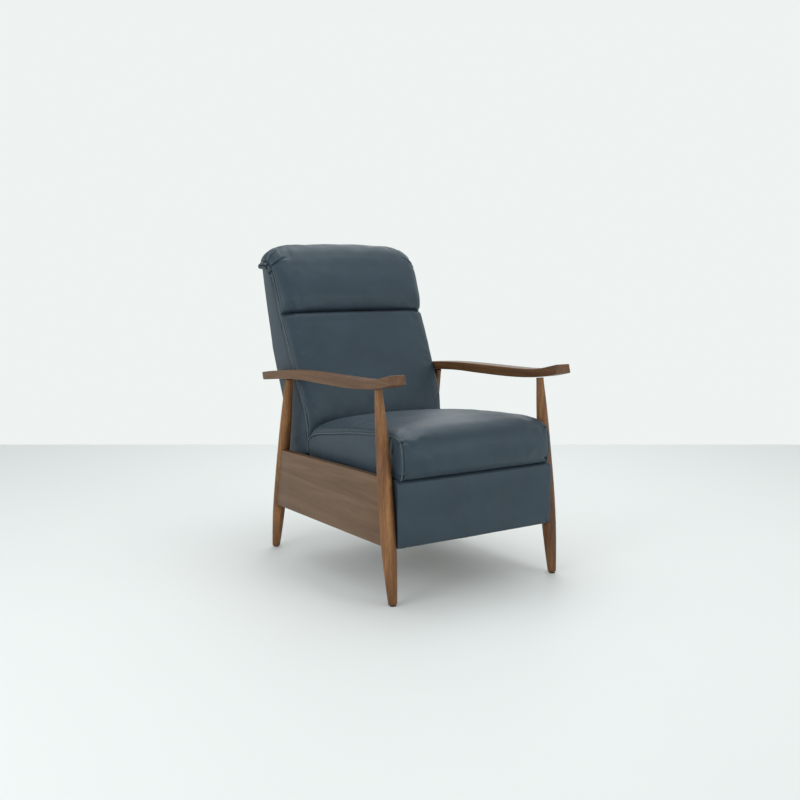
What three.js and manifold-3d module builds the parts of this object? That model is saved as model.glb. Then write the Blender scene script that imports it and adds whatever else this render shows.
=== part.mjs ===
// A push-back recliner armchair with a wooden frame, in millimetres.
// +Z is up, the sitter faces -Y, and the sitter's left arm is at +X.
// The origin is on the floor, under the middle of the chair's depth and width.
// Side profiles are drawn as [y, z] and extruded along X.

import * as THREE from 'three';
import { mergeVertices } from 'three/addons/utils/BufferGeometryUtils.js';
import Module from 'manifold-3d';

const wasm = await Module();
wasm.setup();

// ---- driving dimensions -------------------------------------------------

const GAP = 0.3;                // between pieces that touch
const RUNNING = 0.15;           // radial clearance of a pivot hole
const CURVE_STEPS = 14;

// wooden frame
const LEG_X = 290;
const GLIDE = { radius: 9, height: 3 };
const LEG_SIDES = 20;
const FRONT_LEG = {
  foot: [-330, 0], top: [-257, 597],
  profile: [[11.6, -8], [12.4, 0], [20.7, 150], [21.6, 240], [16.2, 508], [10.4, 606]],
};
const REAR_LEG = {
  foot: [406, 0], top: [290, 578],
  profile: [[11.9, -8], [12.5, 0], [19.9, 134], [20.7, 225], [18.2, 440], [12, 596]],
};
const ARM = {
  x: 293, width: 54,
  top: [[431, 589], [316, 603.5], [124, 615.5], [-122, 619.5], [-217, 622], [-292, 631], [-356, 646]],
  bottom: [[423, 564.5], [316, 576], [125, 588], [-63, 589], [-206, 594.5], [-290, 604], [-363, 619]],
};
const PANEL = { inner: 284, thick: 22, topRear: 341.4, topFront: 358.6, bottomRear: 152.6, bottomFront: 164.3 };
const BASE_HALF = PANEL.inner - GAP;

// steel mechanism
const SWING = { back: 82.7, rise: 64.6, x: 266, thick: 4, eye: 12 };
const SEAT_PIVOT_FRONT = [-120, 275];
const SEAT_PIVOT_REAR = [150, 285];
const SEAT_PLATE = { x: 256, thick: 3 };
const BASE_PLATE = { thick: 3, eye: 16 };
const SWING_STUD = 6;
const BACK_ORIGIN = [232, 345];  // where the back's own drawing starts
const HINGE = [232, 329];
const HINGE_STUD = 6;

// footrest linkage: pivots with the footrest closed, and the inner face of each link.
// The rear link's and the short link's far pivots are the open ones: their holes leave room.
const LINK = { thick: 3, eye: 9, stud: 4, openHole: 7, openEye: 10.2 };
const LAYER = { short: 252, front: 248, long: 244, rear: 240 };
const PIVOT = {
  seatFront: [-210.6, 316.3], seatRear: [-171.3, 316],
  crank: [-108.7, 235.8], cross: [-144.3, 241.7], elbow: [-137.6, 209.5],
  padHigh: [-282.2, 320.2], padLow: [-281.7, 283.5],
};
const CROSS_TUBE = { radius: 7, along: 0.8 };

// footrest
const PAD = { half: 263, front: -330, back: -304.3, bottom: 158, top: 346, corner: 11 };
const BOARD = { half: 250, front: -304, back: -293, bottom: 166, top: 338 };

// seat
const SIDE_RAIL = { inner: 214, outer: 236, front: -257.7, rear: 179.7, bottom: 300, top: 332 };
const END_RAIL = { half: 236, front: -280, rear: 202, thick: 22 };
const SPRING = { count: 5, pitch: 82, wire: 1.7, loops: 9, swing: 22, z: 334.5 };
const CUSHION = { half: 261, bottom: 338 };

// back: profiles are [behind the hinge line, along the back], leaning by BACK_LEAN
const BACK_LEAN = THREE.MathUtils.degToRad(25);
const SIDE_BOARD = { inner: 236, outer: 250 };
const BACK_COVER = { half: 253, thick: 4 };
const CREASE = 462;             // where the headrest pillow starts, along the back

// ---- finishes -----------------------------------------------------------

const walnut = () => new THREE.MeshStandardMaterial({ color: 0x6b4a2f, roughness: 0.45, metalness: 0 });
const plywood = () => new THREE.MeshStandardMaterial({ color: 0xb89468, roughness: 0.7, metalness: 0 });
const leather = () => new THREE.MeshStandardMaterial({ color: 0x3f4c58, roughness: 0.5, metalness: 0 });
const steel = () => new THREE.MeshStandardMaterial({ color: 0x24262a, roughness: 0.4, metalness: 0.7 });
const webbing = () => new THREE.MeshStandardMaterial({ color: 0x2c2c2e, roughness: 0.9, metalness: 0 });
const plastic = () => new THREE.MeshStandardMaterial({ color: 0x1b1b1c, roughness: 0.6, metalness: 0 });

// ---- shape helpers ------------------------------------------------------

const chair = new THREE.Group();
const back = new THREE.Group();
back.position.set(0, BACK_ORIGIN[0], BACK_ORIGIN[1]);
back.rotation.x = -BACK_LEAN;
chair.add(back);

function addPart(name, geometry, material, parent = chair) {
  const mesh = new THREE.Mesh(geometry, material);
  mesh.name = name;
  parent.add(mesh);
}

// turns a shape drawn as [y, z] and extruded into one that runs along X from x
function alongX(geometry, x) {
  const axes = new THREE.Matrix4().makeBasis(
    new THREE.Vector3(0, 1, 0), new THREE.Vector3(0, 0, 1), new THREE.Vector3(1, 0, 0));
  return geometry.applyMatrix4(axes).translate(x, 0, 0);
}

function shapeOf(points) {
  return new THREE.Shape(points.map(([y, z]) => new THREE.Vector2(y, z)));
}

function sideExtrude(shape, x0, x1, bevel = null) {
  const inset = bevel ? bevel.size : 0;
  const geometry = new THREE.ExtrudeGeometry(shape, {
    depth: x1 - x0 - 2 * inset,
    curveSegments: 8,
    steps: 1,
    bevelEnabled: bevel !== null,
    bevelSize: inset,
    bevelThickness: inset,
    bevelOffset: -inset,
    bevelSegments: bevel ? bevel.segments : 0,
  });
  return alongX(geometry, x0 + inset);
}

function box(x0, x1, y0, y1, z0, z1) {
  const geometry = new THREE.BoxGeometry(x1 - x0, y1 - y0, z1 - z0);
  return geometry.translate((x0 + x1) / 2, (y0 + y1) / 2, (z0 + z1) / 2);
}

function rod(radius, x0, x1, [y, z], sides = 16) {
  const geometry = new THREE.CylinderGeometry(radius, radius, x1 - x0, sides);
  return geometry.rotateZ(Math.PI / 2).translate((x0 + x1) / 2, y, z);
}

function solid(geometry) {
  const bare = geometry.clone();
  bare.deleteAttribute('normal');
  bare.deleteAttribute('uv');
  const merged = mergeVertices(bare, 1e-4);
  return new wasm.Manifold(new wasm.Mesh({
    numProp: 3,
    vertProperties: new Float32Array(merged.attributes.position.array),
    triVerts: new Uint32Array(merged.index.array),
  }));
}

function geometryOf(body) {
  const mesh = body.getMesh();
  const geometry = new THREE.BufferGeometry();
  geometry.setAttribute('position', new THREE.BufferAttribute(new Float32Array(mesh.vertProperties), 3));
  geometry.setIndex(new THREE.BufferAttribute(new Uint32Array(mesh.triVerts), 1));
  geometry.computeVertexNormals();
  return geometry;
}

const joined = (first, ...others) => geometryOf(others.reduce((sum, g) => sum.add(solid(g)), solid(first)));
const cut = (first, ...others) => geometryOf(others.reduce((rest, g) => rest.subtract(solid(g)), solid(first)));

// mirrors a span on the right-hand side to the other side
const span = (side, x0, x1) => (side > 0 ? [x0, x1] : [-x1, -x0]);

const SIDES = [['left', 1], ['right', -1]];

// ---- wooden frame -------------------------------------------------------

function legGeometry(leg, grow = 0) {
  const curve = new THREE.SplineCurve(leg.profile.map(([r, s]) => new THREE.Vector2(r + grow, s)));
  const outline = curve.getPoints(CURVE_STEPS);
  const first = outline[0];
  const last = outline[outline.length - 1];
  const points = [new THREE.Vector2(0, first.y), ...outline, new THREE.Vector2(0, last.y)];
  const lean = Math.atan2(leg.foot[0] - leg.top[0], leg.top[1] - leg.foot[1]);
  const geometry = new THREE.LatheGeometry(points, LEG_SIDES);
  return geometry.rotateX(Math.PI / 2 + lean).translate(0, leg.foot[0], leg.foot[1]);
}

function armShape(lift) {
  const spline = (points) => new THREE.SplineCurve(points.map(([y, z]) => new THREE.Vector2(y, z + lift)));
  const top = spline(ARM.top).getPoints(CURVE_STEPS);
  const bottom = spline(ARM.bottom).getPoints(CURVE_STEPS).reverse();
  return new THREE.Shape([...top, ...bottom]);
}

function addLegs(sideName, side) {
  for (const [endName, leg] of [['front', FRONT_LEG], ['rear', REAR_LEG]]) {
    const floor = box(-50, 50, leg.foot[0] - 60, leg.foot[0] + 60, -40, GLIDE.height + GAP);
    const arm = sideExtrude(armShape(-GAP), -50, 50);
    const above = box(-50, 50, -500, 500, 606, 700);
    const geometry = cut(legGeometry(leg), floor, arm, above);
    addPart(`${endName}_leg_${sideName}`, geometry.translate(side * LEG_X, 0, 0), walnut());
    const glide = new THREE.CylinderGeometry(GLIDE.radius, GLIDE.radius, GLIDE.height, 24);
    glide.rotateX(Math.PI / 2).translate(side * LEG_X, leg.foot[0], GLIDE.height / 2);
    addPart(`${endName}_glide_${sideName}`, glide, plastic());
  }
}

function addArm(sideName, side) {
  const [x0, x1] = span(side, ARM.x - ARM.width / 2, ARM.x + ARM.width / 2);
  addPart(`armrest_${sideName}`, sideExtrude(armShape(0), x0, x1), walnut());
}

// height of a leg's axis point, as [y, z], at height z
function onLeg(leg, z) {
  const t = (z - leg.foot[1]) / (leg.top[1] - leg.foot[1]);
  return [leg.foot[0] + t * (leg.top[0] - leg.foot[0]), z];
}

function addPanel(sideName, side) {
  const outline = shapeOf([
    onLeg(FRONT_LEG, PANEL.topFront), onLeg(FRONT_LEG, PANEL.bottomFront),
    onLeg(REAR_LEG, PANEL.bottomRear), onLeg(REAR_LEG, PANEL.topRear),
  ]);
  const [x0, x1] = span(side, PANEL.inner, PANEL.inner + PANEL.thick);
  const legs = [FRONT_LEG, REAR_LEG].map((leg) => legGeometry(leg, GAP).translate(side * LEG_X, 0, 0));
  addPart(`side_panel_${sideName}`, cut(sideExtrude(outline, x0, x1), ...legs), walnut());
}

function addRails() {
  addPart('front_stretcher', box(-BASE_HALF, BASE_HALF, -240, -200, 157, 176), plywood());
  addPart('rear_rail', box(-BASE_HALF, BASE_HALF, 300, 320, 165, 240), plywood());
}

// ---- swing mechanism ----------------------------------------------------

// a stadium-shaped strip between two points
function strip(a, b, eye, x0, x1) {
  const angle = Math.atan2(b[1] - a[1], b[0] - a[0]);
  const shape = new THREE.Shape();
  shape.absarc(a[0], a[1], eye, angle + Math.PI / 2, angle + 1.5 * Math.PI, false);
  shape.absarc(b[0], b[1], eye, angle - Math.PI / 2, angle + Math.PI / 2, false);
  return sideExtrude(shape, x0, x1);
}

// a flat lever through a row of points, with round holes and solid studs
function lever(points, eye, [x0, x1], holes, studs = []) {
  const strips = points.slice(1).map((point, i) => strip(points[i], point, eye, x0, x1));
  const bores = holes.map(([point, radius]) => rod(radius, x0 - 1, x1 + 1, point));
  return joined(cut(joined(...strips), ...bores), ...studs);
}

const basePivot = ([y, z]) => [y - SWING.back, z - SWING.rise];

function addSwing(sideName, side) {
  const front = basePivot(SEAT_PIVOT_FRONT);
  const rear = basePivot(SEAT_PIVOT_REAR);
  const studs = [front, rear].map((p) => rod(SWING_STUD, ...span(side, SWING.x - 3, BASE_HALF - 1), p));
  const layer = span(side, BASE_HALF - BASE_PLATE.thick, BASE_HALF);
  const plate = lever([front, rear], BASE_PLATE.eye, layer, [], studs);
  addPart(`base_plate_${sideName}`, plate, steel());

  const hole = SWING_STUD + RUNNING;
  for (const [endName, pivot] of [['front', SEAT_PIVOT_FRONT], ['rear', SEAT_PIVOT_REAR]]) {
    const low = basePivot(pivot);
    const holes = [[low, hole], [pivot, hole]];
    const link = lever([low, pivot], SWING.eye, span(side, SWING.x, SWING.x + SWING.thick), holes);
    addPart(`${endName}_swing_link_${sideName}`, link, steel());
  }
}

// ---- seat ---------------------------------------------------------------

function addSeatPlate(sideName, side) {
  const { x, thick } = SEAT_PLATE;
  const outline = shapeOf([
    [-230, 331], [-230, 304], [-140, 258], [-100, 258], [60, 290], [135, 268], [165, 268], [225, 310],
    [244, 320], [247, 334], [238, 343], [226, 343], [208, 331],
  ]);
  const studs = [SEAT_PIVOT_FRONT, SEAT_PIVOT_REAR].map(
    (p) => rod(SWING_STUD, ...span(side, x + 1, SWING.x + SWING.thick + 3), p));
  const hinge = rod(HINGE_STUD, ...span(side, SIDE_BOARD.outer + GAP, x + 1), HINGE);
  const front = rod(LINK.stud, ...span(side, LAYER.front - 0.5, x + 1), PIVOT.seatFront);
  const rear = rod(LINK.stud, ...span(side, LAYER.rear - 0.5, x + 1), PIVOT.seatRear);
  const plate = sideExtrude(outline, ...span(side, x, x + thick));
  addPart(`seat_plate_${sideName}`, joined(plate, ...studs, hinge, front, rear), steel());
}

function addSeatFrame() {
  const { inner, outer, front, rear, bottom, top } = SIDE_RAIL;
  for (const [sideName, side] of SIDES) {
    addPart(`seat_side_rail_${sideName}`, box(...span(side, inner, outer), front, rear, bottom, top), plywood());
    addSeatPlate(sideName, side);
  }
  const { half, thick } = END_RAIL;
  const frontBox = box(-half, half, END_RAIL.front, END_RAIL.front + thick, bottom, top);
  addPart('seat_front_rail', frontBox, plywood());
  addPart('seat_rear_rail', box(-half, half, END_RAIL.rear - thick, END_RAIL.rear, bottom, top), plywood());
}

// a flat zigzag of wire, from the front rail to the rear rail
function addSprings() {
  const start = END_RAIL.front + 10;
  const end = END_RAIL.rear - 10;
  for (let i = 0; i < SPRING.count; i += 1) {
    const x = (i - (SPRING.count - 1) / 2) * SPRING.pitch;
    const points = [];
    for (let k = 0; k <= SPRING.loops * 2; k += 1) {
      const y = THREE.MathUtils.lerp(start, end, k / (SPRING.loops * 2));
      const sway = k === 0 || k === SPRING.loops * 2 ? 0 : SPRING.swing / 2;
      points.push(new THREE.Vector3(x + (k % 2 ? sway : -sway), y, SPRING.z));
    }
    const path = new THREE.CatmullRomCurve3(points);
    const section = new THREE.Shape();
    section.absarc(0, 0, SPRING.wire, 0, 2 * Math.PI, false);
    const wire = new THREE.ExtrudeGeometry(section, { steps: SPRING.loops * 4, curveSegments: 3, extrudePath: path });
    addPart(`seat_spring_${i + 1}`, wire, steel());
  }
}

function addSeatCushion() {
  const shape = new THREE.Shape();
  shape.moveTo(198, CUSHION.bottom);
  shape.lineTo(204, 420);
  shape.quadraticCurveTo(140, 444, 40, 462);
  shape.quadraticCurveTo(-120, 488, -280, 484);
  shape.quadraticCurveTo(-332, 482, -344, 440);
  shape.quadraticCurveTo(-352, 398, -338, 358);
  shape.lineTo(-326, 351);
  shape.lineTo(-290, 351);
  shape.lineTo(-283, CUSHION.bottom);
  shape.closePath();
  const geometry = sideExtrude(shape, -CUSHION.half, CUSHION.half, { size: 10, segments: 3 });
  addPart('seat_cushion', geometry, leather());
}

// ---- footrest -----------------------------------------------------------

function addFootrest() {
  const padShape = shapeOf([
    [PAD.back, PAD.bottom], [PAD.back, PAD.top], [PAD.front, PAD.top], [PAD.front, PAD.bottom],
  ]);
  const pad = sideExtrude(padShape, -PAD.half, PAD.half, { size: PAD.corner, segments: 3 });
  addPart('footrest_pad', pad, leather());
  addPart('footrest_board',
    box(-BOARD.half, BOARD.half, BOARD.front, BOARD.back, BOARD.bottom, BOARD.top), plywood());
}

function addFootrestLinks(sideName, side) {
  const hole = LINK.stud + RUNNING;
  const at = (layer) => span(side, layer, layer + LINK.thick);
  const stud = (from, to, pivot) => rod(LINK.stud, ...span(side, from, to), pivot);
  const { seatFront, seatRear, crank, cross, elbow, padLow, padHigh } = PIVOT;

  addPart(`footrest_rear_link_${sideName}`, lever([seatRear, crank], LINK.eye, at(LAYER.rear),
    [[seatRear, hole]], [stud(LAYER.rear + 1, LAYER.long + LINK.thick + 0.5, crank)]), steel());

  addPart(`footrest_front_link_${sideName}`, lever([seatFront, cross, elbow], LINK.eye, at(LAYER.front),
    [[seatFront, hole]],
    [stud(LAYER.long - 0.5, LAYER.front + 1, cross), stud(LAYER.front + 2, LAYER.short + 3.5, elbow)]), steel());

  addPart(`footrest_long_link_${sideName}`, lever([crank, cross, padHigh], LINK.openEye, at(LAYER.long),
    [[crank, LINK.openHole], [cross, hole], [padHigh, hole]]), steel());

  addPart(`footrest_short_link_${sideName}`, lever([elbow, padLow], LINK.openEye, at(LAYER.short),
    [[elbow, hole], [padLow, LINK.openHole]]), steel());

  const face = BOARD.back + GAP;
  const flange = box(...span(side, 218, LAYER.rear + LINK.thick), face, face + 3, 240, 334);
  addPart(`footrest_bracket_${sideName}`, lever([padLow, padHigh], LINK.eye, at(LAYER.rear), [],
    [flange, stud(LAYER.rear + 1, LAYER.long + LINK.thick + 0.5, padHigh),
      stud(LAYER.rear + 1, LAYER.short + LINK.thick + 0.5, padLow)]), steel());
}

// ties the two rear links together, so that both sides of the footrest move alike
function addCrossTube() {
  const [a, b] = [PIVOT.seatRear, PIVOT.crank];
  const centre = a.map((value, i) => THREE.MathUtils.lerp(value, b[i], CROSS_TUBE.along));
  const end = LAYER.rear - GAP;
  addPart('footrest_cross_tube', rod(CROSS_TUBE.radius, -end, end, centre, 20), steel());
}

// ---- back ---------------------------------------------------------------

// the hinge as [behind, along] in the back's own drawing
function hingeOnBack() {
  const dy = HINGE[0] - BACK_ORIGIN[0];
  const dz = HINGE[1] - BACK_ORIGIN[1];
  const [c, s] = [Math.cos(BACK_LEAN), Math.sin(BACK_LEAN)];
  return [c * dy - s * dz, s * dy + c * dz];
}

function addBackFrame() {
  const pivot = hingeOnBack();
  const board = shapeOf([
    [-16, 42], [-16, 640], [4, 660], [12, 640], [36, 548], [74, 385], [80, 300], [82, 205], [80, -4],
    [66, -14], [30, -14], [26, 20],
  ]);
  for (const [sideName, side] of SIDES) {
    const { inner, outer } = SIDE_BOARD;
    addPart(`back_side_board_${sideName}`, sideExtrude(board, ...span(side, inner, outer)), plywood(), back);
    const arm = lever([pivot, [34, 110]], 13, span(side, outer + GAP, outer + GAP + 3),
      [[pivot, HINGE_STUD + RUNNING]]);
    addPart(`back_bracket_${sideName}`, arm, steel(), back);
  }
  const half = SIDE_BOARD.inner - GAP;
  addPart('back_lower_rail', box(-half, half, 40, 62, -14, 46), plywood(), back);
  addPart('back_middle_rail', box(-half, half, 10, 32, 330, 390), plywood(), back);
  addPart('back_top_rail', box(-half, half, -14, 6, 590, 636), plywood(), back);
  for (let i = 0; i < 3; i += 1) {
    const low = 110 + i * 150;
    addPart(`back_webbing_${i + 1}`, box(-SIDE_BOARD.outer, SIDE_BOARD.outer, -18.5, -16.3, low, low + 60),
      webbing(), back);
  }
}

function addBackCover() {
  const outer = [
    [60, -30], [98, -8], [123, 30], [121, 46], [107, 128],
    [89, 205], [87, 300], [81, 388], [43, 550], [17, 659],
  ];
  const inner = outer.map(([v, u]) => [v - BACK_COVER.thick, u + (u < 40 ? 4 : 0)]).reverse();
  const shape = shapeOf([...outer, ...inner]);
  addPart('back_rear_cover', sideExtrude(shape, -BACK_COVER.half, BACK_COVER.half), leather(), back);
}

function addBackCushions() {
  const cushion = shapeOf([
    [-19, 44], [-19, CREASE - 4], [-54, CREASE - 4], [-66, CREASE - 30], [-66, 120], [-60, 84], [-40, 44],
  ]);
  const bevel = { size: 6, segments: 2 };
  addPart('back_cushion', sideExtrude(cushion, -257, 257, bevel), leather(), back);
  const pillow = new THREE.Shape();
  pillow.moveTo(-19, CREASE);
  pillow.lineTo(-19, 662);
  pillow.lineTo(11, 664);
  pillow.lineTo(11, 690);
  pillow.quadraticCurveTo(4, 716, -24, 719);
  pillow.quadraticCurveTo(-66, 718, -74, 650);
  pillow.quadraticCurveTo(-84, 540, -74, CREASE + 14);
  pillow.lineTo(-62, CREASE);
  pillow.closePath();
  addPart('headrest_pillow', sideExtrude(pillow, -270, 270, { size: 10, segments: 3 }), leather(), back);
}

// ---- assembly -----------------------------------------------------------

for (const [sideName, side] of SIDES) {
  addLegs(sideName, side);
  addArm(sideName, side);
  addPanel(sideName, side);
  addSwing(sideName, side);
  addFootrestLinks(sideName, side);
}
addRails();
addSeatFrame();
addSprings();
addSeatCushion();
addFootrest();
addCrossTube();
addBackFrame();
addBackCover();
addBackCushions();

const extent = new THREE.Box3().setFromObject(chair, true);
chair.position.y = -(extent.min.y + extent.max.y) / 2;

export default chair;
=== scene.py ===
"""Looks of a push-back recliner armchair with a wooden frame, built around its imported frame.

Metres, +Z up, the sitter faces -Y and the sitter's left arm is at +X. Side profiles are pairs
(y, z) in millimetres from the datum, which stands on the floor 330 mm behind the front feet.
The back is drawn in its own pair (v, u): v behind and u along the leaning back.
"""

import logging
import math
from dataclasses import dataclass, replace
from enum import Enum
from typing import Callable, Sequence

import bmesh
import bpy
import numpy as np
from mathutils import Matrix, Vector, noise
from mathutils.kdtree import KDTree


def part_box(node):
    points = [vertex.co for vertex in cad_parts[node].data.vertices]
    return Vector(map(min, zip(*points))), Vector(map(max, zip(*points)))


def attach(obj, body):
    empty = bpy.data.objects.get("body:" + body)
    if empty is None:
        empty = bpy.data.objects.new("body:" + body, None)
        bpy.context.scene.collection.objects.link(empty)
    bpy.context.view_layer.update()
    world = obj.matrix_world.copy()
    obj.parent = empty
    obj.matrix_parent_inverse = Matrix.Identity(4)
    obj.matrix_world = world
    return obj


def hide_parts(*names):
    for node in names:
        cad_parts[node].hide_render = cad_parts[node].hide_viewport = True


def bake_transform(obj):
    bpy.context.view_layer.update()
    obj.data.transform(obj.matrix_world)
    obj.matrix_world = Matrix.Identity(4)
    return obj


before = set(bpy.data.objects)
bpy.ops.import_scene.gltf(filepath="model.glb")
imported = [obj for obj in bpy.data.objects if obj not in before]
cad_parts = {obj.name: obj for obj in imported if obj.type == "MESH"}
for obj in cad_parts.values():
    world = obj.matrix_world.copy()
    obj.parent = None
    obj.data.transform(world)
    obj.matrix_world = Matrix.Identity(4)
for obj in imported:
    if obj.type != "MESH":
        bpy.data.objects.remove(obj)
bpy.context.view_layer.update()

log = logging.getLogger("recliner")

MM = 0.001
FRONT_FEET_AHEAD = 330 * MM      # from the datum to the middle of the front feet
BACK_FOOT = (232.0, 345.0)       # where the back's own drawing starts, from the datum
BACK_LEAN = math.radians(25)
QUARTER_TURN = math.radians(90)

Point2 = tuple[float, float]
Colour = tuple[float, float, float]
Stop = tuple[float, Colour]          # a place on a colour ramp and its colour


class Side(Enum):
    """The sitter's left and right, as the sign of X."""

    LEFT = 1
    RIGHT = -1

    @property
    def word(self) -> str:
        """The side's word in node names."""
        return self.name.lower()


def datum_y() -> float:
    """Y of the datum in the row frame, in metres."""
    low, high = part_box("front_glide_left")
    return (low.y + high.y) / 2 + FRONT_FEET_AHEAD


DATUM_Y = datum_y()


def at_datum(x: float, y: float, z: float) -> Vector:
    """A point given in millimetres from the datum, in metres in the row frame."""
    return Vector((x * MM, y * MM + DATUM_Y, z * MM))


def on_back(x: float, v: float, u: float) -> Vector:
    """A point given in the back's own drawing, in metres in the row frame."""
    c, s = math.cos(BACK_LEAN), math.sin(BACK_LEAN)
    return at_datum(x, BACK_FOOT[0] + c * v + s * u, BACK_FOOT[1] - s * v + c * u)


# ---- curves -------------------------------------------------------------


def smooth_run(points: Sequence[Point2], counts: Sequence[int]) -> np.ndarray:
    """A smooth curve through points, with a set number of steps between each pair.

    Args:
        points: The points that the curve goes through.
        counts: The steps between each point and the next.

    Returns:
        The points along the curve, without the last one.
    """
    p = np.array(points, float)
    gaps = np.maximum(np.linalg.norm(np.diff(p, axis=0), axis=1), 1e-6)
    chord = np.concatenate(([0.0], np.cumsum(gaps)))
    slope = np.gradient(p, chord, axis=0) if len(p) > 2 else np.repeat((p[1:] - p[:1]) / gaps[0], 2, 0)
    out = []
    for i, n in enumerate(counts):
        h = gaps[i]
        for k in range(n):
            t = k / n
            a, b = 2 * t**3 - 3 * t**2 + 1, t**3 - 2 * t**2 + t
            c, d = -2 * t**3 + 3 * t**2, t**3 - t**2
            out.append(a * p[i] + b * h * slope[i] + c * p[i + 1] + d * h * slope[i + 1])
    return np.array(out)


def step_counts(points: Sequence[Point2], step: float) -> list[int]:
    """How many steps of about that length fit between each pair of points."""
    gaps = np.linalg.norm(np.diff(np.array(points, float), axis=0), axis=1)
    return [max(1, round(g / step)) for g in gaps]


# ---- mesh helpers -------------------------------------------------------


def select_only(*objects: bpy.types.Object) -> None:
    """Selects these objects and nothing else, and makes the first one active."""
    bpy.ops.object.select_all(action="DESELECT")
    for o in objects:
        o.select_set(True)
    bpy.context.view_layer.objects.active = objects[0]


def mesh_object(name: str, verts: Sequence[Vector], faces: Sequence[Sequence[int]]) -> bpy.types.Object:
    """A new mesh object at the origin, with its normals pointing out."""
    mesh = bpy.data.meshes.new(name)
    mesh.from_pydata([tuple(v) for v in verts], [], [tuple(f) for f in faces])
    obj = bpy.data.objects.new(name, mesh)
    bpy.context.scene.collection.objects.link(obj)
    select_only(obj)
    bpy.ops.object.mode_set(mode="EDIT")
    bpy.ops.mesh.select_all(action="SELECT")
    bpy.ops.mesh.remove_doubles(threshold=1e-5)
    bpy.ops.mesh.normals_make_consistent(inside=False)
    bpy.ops.object.mode_set(mode="OBJECT")
    return obj


def apply_modifier(obj: bpy.types.Object, kind: str, **settings: object) -> None:
    """Adds a modifier with these settings and applies it."""
    select_only(obj)
    modifier = obj.modifiers.new(kind.title(), kind)
    for key, value in settings.items():
        setattr(modifier, key, value)
    bpy.ops.object.modifier_apply(modifier=modifier.name)


def settle(obj: bpy.types.Object) -> None:
    """Moves the object's place into its mesh, so that the object sits at the origin."""
    select_only(obj)
    bpy.ops.object.transform_apply(location=True, rotation=True, scale=True)


def smooth_shade(obj: bpy.types.Object, degrees: float = 40) -> None:
    """Smooth shading, except across edges sharper than the angle."""
    select_only(obj)
    bpy.ops.object.shade_smooth_by_angle(angle=math.radians(degrees), keep_sharp_edges=False)


def dress(obj: bpy.types.Object, material: bpy.types.Material) -> None:
    """Gives the piece one material."""
    obj.data.materials.clear()
    obj.data.materials.append(material)


def piping(name: str, path: Sequence[Vector], radius: float, sides: int = 10) -> bpy.types.Object:
    """A round welt along a path, closed at both ends.

    Args:
        name: The piece's name.
        path: The points that the welt's middle goes through, in metres.
        radius: The welt's radius in metres.
        sides: How many sides its section has.

    Returns:
        The welt as a mesh object.
    """
    rings, faces = [], []
    up = Vector((1, 0, 0))
    for i, p in enumerate(path):
        ahead = (path[min(i + 1, len(path) - 1)] - path[max(i - 1, 0)]).normalized()
        across = ahead.cross(up)
        if across.length < 0.1:
            across = ahead.cross(Vector((0, 1, 0)))
        across.normalize()
        up = across.cross(ahead).normalized()
        for k in range(sides):
            a = 2 * math.pi * k / sides
            rings.append(p + radius * (math.cos(a) * across + math.sin(a) * up))
    for i in range(len(path) - 1):
        for k in range(sides):
            m = (k + 1) % sides
            faces.append((i * sides + k, i * sides + m, (i + 1) * sides + m, (i + 1) * sides + k))
    faces.append(tuple(range(sides)))
    faces.append(tuple((len(path) - 1) * sides + k for k in range(sides)))
    obj = mesh_object(name, rings, faces)
    smooth_shade(obj, 60)
    return obj


# ---- finishes -----------------------------------------------------------


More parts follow.
